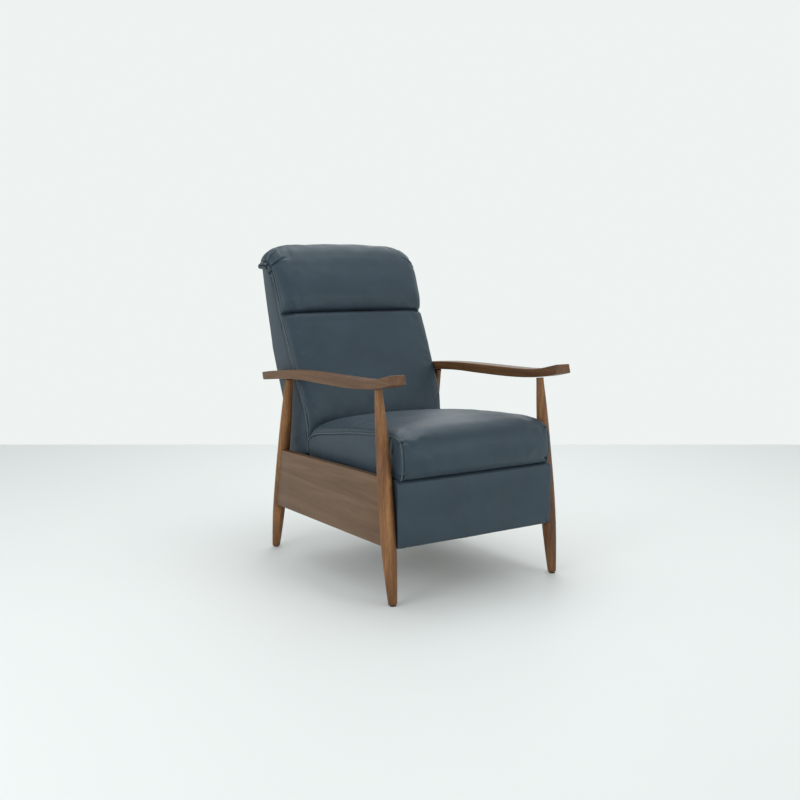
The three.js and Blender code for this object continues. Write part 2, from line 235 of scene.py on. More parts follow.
class NodePainter:
    """A small wrapper that builds a Principled material's node tree."""

    def __init__(self, name: str) -> None:
        """Starts a material with an empty Principled shader."""
        self.material = bpy.data.materials.new(name)
        self.material.use_nodes = True
        self.nodes = self.material.node_tree.nodes
        self.links = self.material.node_tree.links
        self.shader = self.nodes["Principled BSDF"]
        self.place = self.add("ShaderNodeTexCoord").outputs["Object"]

    def add(self, kind: str, **values: object) -> bpy.types.Node:
        """Adds a node, setting its properties and inputs.

        Args:
            kind: The node's class name.
            values: Property or input names, with underscores for spaces, and their values.

        Returns:
            The new node.
        """
        node = self.nodes.new(kind)
        for key, value in values.items():
            label = key.replace("_", " ")
            if label in node.inputs:
                node.inputs[label].default_value = value
            else:
                setattr(node, key, value)
        return node

    def stretched(self, scale: Sequence[float], turn: Sequence[float] = (0, 0, 0)) -> bpy.types.NodeSocket:
        """Object coordinates, turned and then scaled along each axis."""
        turned = self.add("ShaderNodeMapping")
        turned.inputs["Rotation"].default_value = turn
        self.links.new(self.place, turned.inputs["Vector"])
        scaled = self.add("ShaderNodeMapping")
        scaled.inputs["Scale"].default_value = scale
        self.links.new(turned.outputs["Vector"], scaled.inputs["Vector"])
        return scaled.outputs["Vector"]

    def noise(self, vector: bpy.types.NodeSocket, **values: object) -> bpy.types.NodeSocket:
        """A noise texture's value at a vector."""
        node = self.add("ShaderNodeTexNoise", **values)
        self.links.new(vector, node.inputs["Vector"])
        return node.outputs["Fac"]

    def ramp(self, value: bpy.types.NodeSocket, stops: Sequence[Stop]) -> bpy.types.NodeSocket:
        """A colour ramp with these (position, colour) stops."""
        node = self.add("ShaderNodeValToRGB")
        while len(node.color_ramp.elements) < len(stops):
            node.color_ramp.elements.new(0.5)
        for element, (position, colour) in zip(node.color_ramp.elements, stops):
            element.position = position
            element.color = (*colour, 1)
        self.links.new(value, node.inputs["Fac"])
        return node.outputs["Color"]

    def spread(self, value: bpy.types.NodeSocket, low: float, high: float) -> bpy.types.NodeSocket:
        """Maps 0..1 to low..high."""
        node = self.add("ShaderNodeMapRange")
        node.inputs["To Min"].default_value = low
        node.inputs["To Max"].default_value = high
        self.links.new(value, node.inputs["Value"])
        return node.outputs["Result"]

    def sum(self, a: bpy.types.NodeSocket, b: bpy.types.NodeSocket, share: float) -> bpy.types.NodeSocket:
        """a plus share times b."""
        node = self.add("ShaderNodeMath", operation="MULTIPLY_ADD")
        self.links.new(b, node.inputs[0])
        node.inputs[1].default_value = share
        self.links.new(a, node.inputs[2])
        return node.outputs["Value"]

    def bump(self, height: bpy.types.NodeSocket, strength: float, distance: float) -> None:
        """Bumps the shader's normal by a height."""
        node = self.add("ShaderNodeBump")
        node.inputs["Strength"].default_value = strength
        node.inputs["Distance"].default_value = distance
        self.links.new(height, node.inputs["Height"])
        self.links.new(node.outputs["Normal"], self.shader.inputs["Normal"])

    def feed(self, name: str, socket: bpy.types.NodeSocket) -> None:
        """Links a socket to one of the shader's inputs."""
        self.links.new(socket, self.shader.inputs[name])

    def set(self, name: str, value: object) -> None:
        """Sets one of the shader's own inputs."""
        self.shader.inputs[name].default_value = value


@dataclass(frozen=True)
class LeatherFinish:
    """Smooth corrected-grain leather: fine pebbles, soft sheen, faint cloudiness."""

    name: str = "slate_leather"
    deep: Colour = (0.024, 0.038, 0.053)
    pale: Colour = (0.031, 0.048, 0.065)
    rough: float = 0.44

    def build(self) -> bpy.types.Material:
        """The finished material."""
        p = NodePainter(self.name)
        cloud = p.noise(p.place, Scale=9.0, Detail=4.0, Roughness=0.6)
        p.feed("Base Color", p.ramp(cloud, [(0.32, self.deep), (0.68, self.pale)]))
        pebble = p.add("ShaderNodeTexVoronoi", feature="SMOOTH_F1", Scale=620.0, Smoothness=0.5)
        p.links.new(p.place, pebble.inputs["Vector"])
        crease = p.noise(p.place, Scale=150.0, Detail=5.0, Roughness=0.65, Distortion=0.4)
        height = p.sum(pebble.outputs["Distance"], crease, 0.9)
        p.bump(height, 0.16, 0.0006)
        p.feed("Roughness", p.spread(crease, self.rough - 0.05, self.rough + 0.09))
        p.set("Specular IOR Level", 0.36)
        p.set("Specular Tint", (0.82, 0.935, 0.975, 1))
        p.set("Sheen Weight", 0.05)
        p.set("Sheen Roughness", 0.45)
        p.set("Sheen Tint", (0.62, 0.72, 0.80, 1))
        return p.material


@dataclass(frozen=True)
class WoodFinish:
    """Stained walnut with long fine grain, pores and a satin lacquer."""

    name: str
    dark: Colour
    middle: Colour
    light: Colour
    turn: tuple[float, float, float] = (0, 0, 0)
    rough: float = 0.42
    along: float = 2.4
    across: float = 34.0

    def build(self) -> bpy.types.Material:
        """The finished material; the grain runs along Z before the turn."""
        p = NodePainter(self.name)
        bands = p.stretched((self.across, self.across, self.along), self.turn)
        broad = p.noise(bands, Scale=1.0, Detail=5.0, Roughness=0.62, Distortion=0.55)
        fibre = p.stretched((self.across * 14, self.across * 14, self.along * 5), self.turn)
        fine = p.noise(fibre, Scale=1.0, Detail=4.0, Roughness=0.7)
        mixed = p.sum(p.spread(broad, -0.08, 0.74), fine, 0.36)
        colour = p.ramp(mixed, [(0.30, self.dark), (0.52, self.middle), (0.74, self.light)])
        p.feed("Base Color", colour)
        p.feed("Roughness", p.spread(fine, self.rough - 0.06, self.rough + 0.12))
        p.bump(fine, 0.14, 0.0006)
        p.set("Specular IOR Level", 0.35)
        p.set("Coat Weight", 0.06)
        p.set("Coat Roughness", 0.3)
        return p.material


@dataclass(frozen=True)
class PlainFinish:
    """A small-detail finish for steel, webbing and plastic."""

    name: str
    colour: Colour
    rough: float
    metal: float = 0.0
    grain: float = 300.0
    depth: float = 0.08

    def build(self) -> bpy.types.Material:
        """The finished material."""
        p = NodePainter(self.name)
        speck = p.noise(p.place, Scale=self.grain, Detail=3.0, Roughness=0.6)
        low = tuple(c * 0.8 for c in self.colour)
        high = tuple(min(1.0, c * 1.25) for c in self.colour)
        p.feed("Base Color", p.ramp(speck, [(0.35, low), (0.65, high)]))
        p.feed("Roughness", p.spread(speck, self.rough - 0.06, self.rough + 0.06))
        p.bump(speck, self.depth, 0.0004)
        p.set("Metallic", self.metal)
        return p.material


class Finishes:
    """Every finish on the chair, built once."""

    def __init__(self) -> None:
        """Builds the materials."""
        lengthwise, crosswise = (QUARTER_TURN, 0, 0), (0, QUARTER_TURN, 0)
        deep_walnut = ((0.055, 0.020, 0.006), (0.112, 0.050, 0.017), (0.175, 0.088, 0.034))
        self.leather = LeatherFinish().build()
        # Paler than the rest of the leather: a painted highlight along the welts and seam ears. Its lower
        # roughness is real gloss.
        self.piping = LeatherFinish(
            "slate_piping_painted_highlight", (0.042, 0.058, 0.070), (0.060, 0.078, 0.090), rough=0.36).build()
        self.leg_wood = WoodFinish(
            "walnut_leg", (0.042, 0.014, 0.004), (0.158, 0.064, 0.018), (0.340, 0.165, 0.056),
            rough=0.48).build()
        self.arm_wood = WoodFinish("walnut_arm", *deep_walnut, turn=lengthwise, rough=0.46).build()
        # Greyer and lighter than the other walnut: a painted sheen that stands in for the bright surround's
        # grazing reflection on the flat side panels.
        self.panel_wood_painted_sheen = WoodFinish(
            "walnut_panel_painted_sheen", (0.080, 0.040, 0.018), (0.128, 0.070, 0.034), (0.170, 0.100, 0.052),
            turn=lengthwise, rough=0.48, across=30.0).build()
        self.rail_wood = WoodFinish("walnut_rail", *deep_walnut, turn=crosswise, rough=0.46).build()
        self.birch = WoodFinish(
            "birch_plywood", (0.36, 0.25, 0.14), (0.47, 0.34, 0.20), (0.56, 0.42, 0.27),
            turn=crosswise, rough=0.6).build()
        self.stained = WoodFinish(
            "stained_plywood", (0.020, 0.016, 0.013), (0.032, 0.025, 0.020), (0.046, 0.036, 0.028),
            turn=crosswise, rough=0.6).build()
        self.steel = PlainFinish("black_steel", (0.022, 0.023, 0.026), 0.38, metal=0.85).build()
        self.webbing = PlainFinish(
            "elastic_webbing", (0.03, 0.03, 0.032), 0.85, grain=900.0, depth=0.5).build()
        self.glide = PlainFinish("nylon_glide", (0.02, 0.02, 0.021), 0.5).build()


# ---- studio -------------------------------------------------------------


@dataclass
class Studio:
    """A pale seamless floor, soft lights and the camera."""

    ahead: float = 2.65069       # camera from the datum, along -Y
    aside: float = 1.75836       # camera from the chair's middle, along -X
    height: float = 0.93273
    azimuth: float = math.radians(32.74)
    pitch: float = math.radians(7.394)
    lens: float = 46.1

    def build(self) -> None:
        """Makes the floor, the world, the lights and the camera."""
        bpy.context.scene.view_settings.view_transform = "Standard"
        self.make_floor()
        self.make_world()
        self.make_lights()
        self.make_camera()

    def make_floor(self) -> None:
        """A wide floor, square to the camera, which ends a little way behind the chair."""
        bpy.ops.mesh.primitive_plane_add(size=1, location=(0, 0, 0), rotation=(0, 0, -self.azimuth))
        floor = bpy.context.object
        floor.name = "studio_floor"
        floor.scale = (9, 4.2, 1)
        settle(floor)
        painter = NodePainter("studio_floor")
        painter.set("Base Color", (0.80, 0.825, 0.815, 1))
        painter.set("Roughness", 0.55)
        painter.set("Specular IOR Level", 0.25)
        floor.data.materials.append(painter.material)

    def make_world(self) -> None:
        """An even pale surround."""
        world = bpy.data.worlds.new("studio")
        bpy.context.scene.world = world
        world.use_nodes = True
        nodes, links = world.node_tree.nodes, world.node_tree.links
        background = nodes["Background"]
        kinds = ("TexCoord", "SeparateXYZ", "ValToRGB")
        place, parts, ramp = (nodes.new(f"ShaderNode{kind}") for kind in kinds)
        links.new(place.outputs["Generated"], parts.inputs["Vector"])
        links.new(parts.outputs["Z"], ramp.inputs["Fac"])
        links.new(ramp.outputs["Color"], background.inputs["Color"])
        ramp.color_ramp.elements[0].position = 0.22
        ramp.color_ramp.elements[0].color = (0.86, 0.90, 0.89, 1)
        ramp.color_ramp.elements[1].position = 0.62
        ramp.color_ramp.elements[1].color = (0.60, 0.63, 0.63, 1)

    def make_lights(self) -> None:
        """Large soft lamps, named as the camera sees them: name, place, target, size in metres and watts."""
        lamps = (
            ("overhead", (0.4, 0.5, 2.9), (0, 0, 0.4), 1.9, 30),
            ("left", (-3.3, -0.9, 1.5), (0, 0, 0.4), 2.0, 34),
            ("front", (1.2, -3.4, 1.5), (0, 0, 0.4), 2.0, 20),
            ("behind_right", (2.2, 2.6, 2.4), (0, 0, 0.5), 1.8, 14),
        )
        for name, place, target, size, power in lamps:
            bpy.ops.object.light_add(type="AREA", location=place)
            lamp = bpy.context.object
            lamp.name = name
            lamp.data.shape = "SQUARE"
            lamp.data.size = size
            lamp.data.energy = power
            lamp.rotation_euler = (Vector(target) - Vector(place)).to_track_quat("-Z", "Y").to_euler()

    def make_camera(self) -> None:
        """The camera, at standing distance to the chair's right front."""
        bpy.ops.object.camera_add(location=(-self.aside, DATUM_Y - self.ahead, self.height))
        camera = bpy.context.object
        ahead = Vector((math.sin(self.azimuth) * math.cos(self.pitch),
                        math.cos(self.azimuth) * math.cos(self.pitch), -math.sin(self.pitch)))
        camera.rotation_euler = ahead.to_track_quat("-Z", "Y").to_euler()
        camera.data.lens = self.lens
        camera.data.sensor_width = 36
        bpy.context.scene.camera = camera


# ---- wooden frame -------------------------------------------------------


@dataclass
class TurnedLeg:
    """One turned, tapering leg, leaning in its side's plane."""

    node: str
    foot: Point2
    top: Point2
    girth: tuple[Point2, ...]    # (along the leg, radius)
    sides: int = 48
    rings: int = 44
    glide: float = 3.6           # the glide's height under the wood
    ease: float = 1.6            # the eased edge at the foot

    def radius_at(self, s: float) -> float:
        """The leg's radius at a distance along it."""
        curve = smooth_run(self.girth, [12] * (len(self.girth) - 1))
        return float(np.interp(s, curve[:, 0], curve[:, 1]))

    def build(self, x: float, finish: bpy.types.Material) -> bpy.types.Object:
        """Turns the leg: a disc at the foot, extruded ring by ring to its top.

        Args:
            x: The leg's place across the chair, in millimetres.
            finish: Its wood.

        Returns:
            The leg.
        """
        length = math.dist(self.foot, self.top)
        first = self.glide + self.ease
        bpy.ops.mesh.primitive_circle_add(vertices=self.sides, radius=1, fill_type="NGON", location=(0, 0, 0))
        leg = bpy.context.object
        leg.name = self.node + "_turned"
        bpy.ops.object.mode_set(mode="EDIT")
        radius = self.radius_at(0) - self.ease
        bpy.ops.transform.resize(value=(radius * MM,) * 3)
        bpy.ops.transform.translate(value=(0, 0, self.glide * MM))
        place = self.glide
        for k in range(self.rings + 1):
            s = first + (length - first) * k / self.rings
            wanted = self.radius_at(s)
            bpy.ops.mesh.extrude_region_move(TRANSFORM_OT_translate={"value": (0, 0, (s - place) * MM)})
            bpy.ops.transform.resize(value=(wanted / radius,) * 3)
            radius, place = wanted, s
        bpy.ops.mesh.select_all(action="SELECT")
        bpy.ops.mesh.normals_make_consistent(inside=False)
        bpy.ops.object.mode_set(mode="OBJECT")
        lean = math.atan2(self.foot[0] - self.top[0], self.top[1] - self.foot[1])
        leg.rotation_euler = (lean, 0, 0)
        leg.location = at_datum(x, *self.foot)
        settle(leg)
        smooth_shade(leg, 50)
        dress(leg, finish)
        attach(leg, "base")
        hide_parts(self.node)
        return leg


@dataclass
class CurvedArm:
    """One S-curved armrest, sawn from a board and eased along its edges."""

    top: tuple[Point2, ...] = (
        (431, 589), (370, 597.5), (316, 603.5), (261, 608), (186, 613), (124, 615.5), (59, 617), (-3, 618),
        (-122, 619.5), (-217, 622), (-264, 626), (-292, 631), (-323, 638), (-356, 646))
    bottom: tuple[Point2, ...] = (
        (423, 564.5), (371, 570), (317, 576), (262, 581), (187, 586), (125, 588), (60, 588), (-3, 588.5),
        (-120, 590.2), (-206, 594.5), (-264, 600), (-292, 604), (-326, 610.5), (-363, 619))
    inner: float = 266
    outer: float = 320
    ease: float = 3.0

    def build(self, side: Side, finish: bpy.types.Material) -> bpy.types.Object:
        """Saws the arm: its rear end face, extruded forwards from station to station.

        Args:
            side: Which arm it is.
            finish: Its wood.

        Returns:
            The arm.
        """
        counts = [3] * (len(self.top) - 1)
        top = np.vstack([smooth_run(self.top, counts), self.top[-1]])
        bottom = np.vstack([smooth_run(self.bottom, counts), self.bottom[-1]])
        bpy.ops.mesh.primitive_plane_add(size=1, location=(0, 0, 0))
        arm = bpy.context.object
        arm.name = f"armrest_{side.word}_shaped"
        x0, x1 = sorted((side.value * self.inner, side.value * self.outer))
        mesh = arm.data
        corners = [(x0, bottom[0]), (x1, bottom[0]), (x0, top[0]), (x1, top[0])]
        for vert, (x, p) in zip(mesh.vertices, corners):
            vert.co = at_datum(x, *p)
        bpy.ops.object.mode_set(mode="EDIT")
        for low_from, low_to, high_from, high_to in zip(bottom, bottom[1:], top, top[1:]):
            move = (Vector((0, *(low_to - low_from))) * MM)
            bpy.ops.mesh.extrude_region_move(TRANSFORM_OT_translate={"value": move})
            shift = Vector((0, *((high_to - high_from) - (low_to - low_from)))) * MM
            self.shift_upper_edge(arm, shift)
        bpy.ops.mesh.select_all(action="SELECT")
        bpy.ops.mesh.normals_make_consistent(inside=False)
        bpy.ops.object.mode_set(mode="OBJECT")
        apply_modifier(arm, "BEVEL", width=self.ease * MM, segments=3, limit_method="ANGLE",
                       angle_limit=math.radians(50))
        smooth_shade(arm, 35)
        dress(arm, finish)
        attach(arm, "base")
        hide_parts(f"armrest_{side.word}")
        return arm

    @staticmethod
    def shift_upper_edge(arm: bpy.types.Object, shift: Vector) -> None:
        """Moves the upper two corners of the selected end face."""
        data = bmesh.from_edit_mesh(arm.data)
        chosen = sorted((v for v in data.verts if v.select), key=lambda v: v.co.z)
        for vert in chosen[2:]:
            vert.co += shift
        bmesh.update_edit_mesh(arm.data)


@dataclass
class SidePanel:
    """One flat side panel, tenoned into the legs."""

    inner: float = 284
    thick: float = 22
    front_top: Point2 = (-281, 358.4)
    front_bottom: Point2 = (-304, 164.2)
    rear_top: Point2 = (335, 341.5)
    rear_bottom: Point2 = (372, 152.7)
    ease: float = 1.2

    def build(self, side: Side, finish: bpy.types.Material) -> bpy.types.Object:
        """Cuts the panel: a block whose corners are moved to the outline, with eased edges."""
        bpy.ops.mesh.primitive_cube_add(size=1, location=(0, 0, 0))
        panel = bpy.context.object
        panel.name = f"side_panel_{side.word}_board"
        for vert in panel.data.vertices:
            x = side.value * (self.inner + (self.thick if vert.co.x * side.value > 0 else 0))
            if vert.co.y < 0:
                y, z = self.front_top if vert.co.z > 0 else self.front_bottom
            else:
                y, z = self.rear_top if vert.co.z > 0 else self.rear_bottom
            vert.co = at_datum(x, y, z)
        bpy.ops.object.mode_set(mode="EDIT")
        bpy.ops.mesh.select_all(action="SELECT")
        bpy.ops.mesh.normals_make_consistent(inside=False)
        bpy.ops.mesh.subdivide(number_cuts=6)
        bpy.ops.object.mode_set(mode="OBJECT")
        apply_modifier(panel, "BEVEL", width=self.ease * MM, segments=2, limit_method="ANGLE",
                       angle_limit=math.radians(50))
        smooth_shade(panel, 35)
        dress(panel, finish)
        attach(panel, "base")
        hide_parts(f"side_panel_{side.word}")
        return panel


@dataclass
class WoodFrame:
    """Legs, arms and side panels."""

    finishes: Finishes
    leg_x: float = 290
    front_girth: tuple[Point2, ...] = (
        (0, 12.2), (60, 16.6), (154, 21.6), (239, 22.8), (370, 20.6), (508, 16.3), (601, 10.6))
    rear_girth: tuple[Point2, ...] = (
        (0, 12.5), (60, 16.4), (134, 19.8), (235, 20.6), (350, 19.6), (440, 18.0), (590, 12.2))

    def build(self) -> None:
        """Builds both sides."""
        for side in Side:
            for end, foot, top, girth in (
                ("front", (-330, 0), (-257, 597), self.front_girth),
                ("rear", (406, 0), (290, 577), self.rear_girth),
            ):
                leg = TurnedLeg(f"{end}_leg_{side.word}", foot, top, girth)
                leg.build(side.value * self.leg_x, self.finishes.leg_wood)
            CurvedArm().build(side, self.finishes.arm_wood)
            SidePanel().build(side, self.finishes.panel_wood_painted_sheen)
            log.info("wooden frame, %s side: two legs, arm and panel", side.word)


# ---- padded pieces ------------------------------------------------------


@dataclass
class Tuck:
    """A short pinch in the leather, running from a seam into the panel."""

    start: Vector
    end: Vector
    outward: Vector
    width: float        # in millimetres
    depth: float        # in millimetres

    def shift(self, place: np.ndarray) -> np.ndarray:
        """How far the pinch lifts each point along its normal, in metres.

        Args:
            place: The points, one a row.

        Returns:
            The lift of each point, which is negative in the fold.
        """
        run = self.end - self.start
        along = run.normalized()
        across = along.cross(self.outward).normalized()
        up = across.cross(along)
        away = place - np.array(self.start)
        share = (away @ np.array(along)) / run.length
        inside = np.clip(1 - share, 0, 1) ** 0.8 * np.clip(1 + share * run.length / 0.006, 0, 1)
        inside = inside * np.clip(2 - np.abs(away @ np.array(up)) / 0.022, 0, 1)
        spread = self.width * MM * (0.75 + 0.8 * np.clip(share, 0, 1))
        beside = (away @ np.array(across)) / spread
        fold = -np.exp(-(beside**2)) + 0.22 * np.exp(-(((np.abs(beside) - 2.1) / 1.1) ** 2))
        return self.depth * MM * inside * fold


@dataclass
class CrownedPad:
    """A padded piece between two side seams, crowned in the middle.

    Its section is a closed loop of smooth runs, given at the side seams and at the middle. Across the
    chair the section swells from one to the other, quickly over a rounded edge and then slowly, and each
    side is closed by a gusset that is drawn in a little behind the seam.
    """

    name: str
    place: Callable[[float, float, float], Vector]
    seam_runs: tuple[tuple[Point2, ...], ...]
    middle_runs: tuple[tuple[Point2, ...], ...]
    half_width: Callable[[float, float], float]
    spine: tuple[Point2, Point2]
    edge: Callable[[float], float] = lambda b: 70.0     # the rounded edge's width beside each seam
    square: Callable[[float], float] = lambda b: 2.6    # how square that edge is, 2 being round
    puff: Callable[[float], float] = lambda b: 4.0      # how far that edge stands out past the seam
    edge_share: float = 0.72                            # how much of the swell happens over that edge
    crevice: float = 3.0                                # how far from the seam the edge starts to rise
    sink: float = 0.05                                  # how deep the leather dips beside the welt
    gusset_bulge: float = 2.0
    gusset_dip: float = 1.5
    stations: int = 110
    step: float = 4.6

    def counts(self, run: int) -> list[int]:
        """The steps along each part of one run, the same at the seams and in the middle."""
        both = (step_counts(runs[run], self.step) for runs in (self.seam_runs, self.middle_runs))
        return [max(pair) for pair in zip(*both)]

    def loops(self) -> tuple[np.ndarray, np.ndarray]:
        """The closed section at the seams and at the middle, point for point."""
        runs = range(len(self.seam_runs))
        seam = np.vstack([smooth_run(self.seam_runs[k], self.counts(k)) for k in runs])
        middle = np.vstack([smooth_run(self.middle_runs[k], self.counts(k)) for k in runs])
        return seam, middle

    def seam_path(self, run: int, side: Side, outset: float = 0.0, lift: float = 0.0) -> list[Vector]:
        """The line of one run of the section along a side seam.

        Args:
            run: Which run of the section.
            side: Which side seam.
            outset: How far outside the seam the line lies, in millimetres.
            lift: How far proud of the seam the line lies, in millimetres.

        Returns:
            The line's points, in metres.
        """
        points = np.vstack([smooth_run(self.seam_runs[run], self.counts(run)), self.seam_runs[run][-1]])
        path = []
        for p in points:
            away = p - self.towards_spine(p, 0)
            raised = p + away * lift / max(float(np.linalg.norm(away)), 1.0)
            path.append(self.place(side.value * (self.half_width(*p) + outset), *raised))
        return path

    def swell(self, t: float, half: float, height: float) -> tuple[float, float]:
        """The swell at a share t of the way out to a seam.

        Args:
            t: The share, from -1 to 1.
            half: Half the width there, in millimetres.
            height: The section point's second coordinate.

        Returns:
            The share of the swell, and how far the surface stands out sideways.
        """
        beside = (1 - abs(t)) * half
        if beside < self.crevice:
            return -self.sink * math.sin(math.pi * beside / self.crevice), 0.0
        into = min(1.0, (beside - self.crevice) / self.edge(height))
        power = self.square(height)
        rounded = (1 - (1 - into) ** power) ** (1 / power)
        out = self.puff(height) * math.sin(math.pi * min(1.0, rounded / 0.95)) * math.copysign(1, t)
        return self.edge_share * rounded + (1 - self.edge_share) * into * (1 - abs(t) ** 2.2), out

    def towards_spine(self, p: np.ndarray, keep: float) -> np.ndarray:
        """A section point drawn in towards the spine, keeping a share of its distance."""
        a, b = np.array(self.spine[0], float), np.array(self.spine[1], float)
        t = np.clip((p - a) @ (b - a) / ((b - a) @ (b - a)), 0, 1)
        foot = a + t * (b - a)
        return foot + keep * (p - foot)

    def build(self) -> bpy.types.Object:
        """The pad's closed mesh."""
        seam, middle = self.loops()
        halves = [self.half_width(*p) for p in seam]
        verts: list[Vector] = []
        gusset = [(0.99, -0.6 * self.gusset_dip), (0.965, -self.gusset_dip), (0.93, -0.5 * self.gusset_dip)]
        gusset += [(keep, self.gusset_bulge * (1 - keep**3)) for keep in (0.86, 0.76, 0.64, 0.5, 0.34, 0.18)]

        def add_gusset(side: Side, keep: float, out: float) -> None:
            """Adds one ring of a gusset: the seam drawn in to a share of itself, and how far out it lies."""
            drawn = [self.towards_spine(p, keep) for p in seam]
            verts.extend(self.place(side.value * (self.half_width(*p) + out), *p) for p in drawn)

        for keep, out in reversed(gusset):
            add_gusset(Side.RIGHT, keep, out)
        for k in range(self.stations + 1):
            t = math.sin(math.pi * (k / self.stations - 0.5))
            for p, q, half in zip(seam, middle, halves):
                share, out = self.swell(t, half, q[1])
                grown = min(1.0, float(np.linalg.norm(q - p)) / 12)
                verts.append(self.place(t * half + out * grown, *(p + (q - p) * share)))
        for keep, out in gusset:
            add_gusset(Side.LEFT, keep, out)

        n = len(seam)
        rings = range(0, len(verts), n)
        faces: list[Sequence[int]] = [
            (a + i, a + (i + 1) % n, a + n + (i + 1) % n, a + n + i) for a in rings[:-1] for i in range(n)
        ]
        faces += [[rings[0] + i for i in range(n)], [rings[-1] + i for i in range(n)]]
        return mesh_object(self.name, verts, faces)


def soften(obj: bpy.types.Object, tucks: Sequence[Tuck], ripple: float = 0.0006, seed: float = 0.0) -> None:
    """Presses tucks into a pad and lets its surface wander a little, as leather over foam does.

    Args:
        obj: The pad.
        tucks: The pinches along its seams.
        ripple: How far the surface wanders, in metres.
        seed: Moves the wandering's pattern.
    """
    count = len(obj.data.vertices)
    place, normal = np.empty(count * 3), np.empty(count * 3)
    obj.data.vertices.foreach_get("co", place)
    obj.data.vertices.foreach_get("normal", normal)
    place, normal = place.reshape(-1, 3), normal.reshape(-1, 3)
    shift = np.zeros(count)
    for tuck in tucks:
        shift += tuck.shift(place)
    for i, p in enumerate(place):
        shift[i] += ripple * noise.noise(Vector((p[0] * 11 + seed, p[1] * 11, p[2] * 11)))
        shift[i] += 0.4 * ripple * noise.noise(Vector((p[0] * 34, p[1] * 34 + seed, p[2] * 34)))
    obj.data.vertices.foreach_set("co", (place + shift[:, None] * normal).ravel())
    obj.data.update()


@dataclass
class LeatherDrape:
    """A short cloth simulation that lets the leather of a pad find its own folds between its seams.

    A coarse copy of the pad is stretched a little over its foam by pressure while its seams are held, and
    the way its surface moves is passed on to the pad itself.
    """

    cap: float                                  # the most that a point may move, in metres
    held: Callable[[Vector], bool]              # whether a point of the coarse copy is held
    slack: float = 0.02                         # how much longer the leather is than its foam
    pressure: float = 1.6
    frames: int = 18
    stretch_stiffness: float = 30
    shear_stiffness: float = 12
    bend_stiffness: float = 5
    leather_mass: float = 0.4                   # of one point, in kilograms
    stations: int = 56                          # the coarse copy's sections
    step: float = 9.5                           # the coarse copy's step round a section, in millimetres
    neighbours: int = 5                         # how many coarse points move one point of the pad
    blur: float = 0.002                         # evens out the neighbours' weights, in metres

    def moves(self, pad: CrownedPad) -> tuple[np.ndarray, np.ndarray]:
        """Simulates a coarse copy of the pad.

        Args:
            pad: The pad to copy.

        Returns:
            The coarse copy's points, and how far each of them moves.
        """
        coarser = replace(pad, name=pad.name + "_drape", stations=self.stations, step=self.step)
        coarse = coarser.build()
        before = np.array([v.co[:] for v in coarse.data.vertices])
        group = coarse.vertex_groups.new(name="held")
        group.add([v.index for v in coarse.data.vertices if self.held(v.co)], 1.0, "ADD")
        cloth = coarse.modifiers.new("Cloth", "CLOTH")
        cloth.settings.quality = 6
        cloth.settings.mass = self.leather_mass
        cloth.settings.tension_stiffness = self.stretch_stiffness
        cloth.settings.compression_stiffness = self.stretch_stiffness
        cloth.settings.shear_stiffness = self.shear_stiffness
        cloth.settings.bending_stiffness = self.bend_stiffness
        cloth.settings.shrink_min = -self.slack
        cloth.settings.use_pressure = True
        cloth.settings.uniform_pressure_force = self.pressure
        cloth.settings.vertex_group_mass = group.name
        cloth.settings.effector_weights.gravity = 0
        cloth.collision_settings.use_collision = False
        scene = bpy.context.scene
        for frame_number in range(1, self.frames + 1):
            scene.frame_set(frame_number)
        shaped = coarse.evaluated_get(bpy.context.evaluated_depsgraph_get())
        after = np.array([v.co[:] for v in shaped.data.vertices])
        scene.frame_set(1)
        bpy.data.objects.remove(coarse)
        moved = after - before
        length = np.linalg.norm(moved, axis=1, keepdims=True)
        log.info("%s: leather moved %.1f mm at most before its cap", pad.name, float(length.max()) / MM)
        return before, moved * self.cap / np.maximum(length + self.cap, 1e-9)

    def drape(self, obj: bpy.types.Object, pad: CrownedPad) -> None:
        """Passes the coarse copy's moves on to the pad.

        Args:
            obj: The pad's mesh object.
            pad: The pad's shape.
        """
        points, moves = self.moves(pad)
        tree = KDTree(len(points))
        for i, p in enumerate(points):
            tree.insert(p, i)
        tree.balance()
        for vert in obj.data.vertices:
            near = tree.find_n(vert.co, self.neighbours)
            weights = [1 / (distance + self.blur) ** 2 for _, _, distance in near]
            shift = sum(w * moves[i] for w, (_, i, _) in zip(weights, near)) / sum(weights)
            vert.co += Vector(shift)
        obj.data.update()


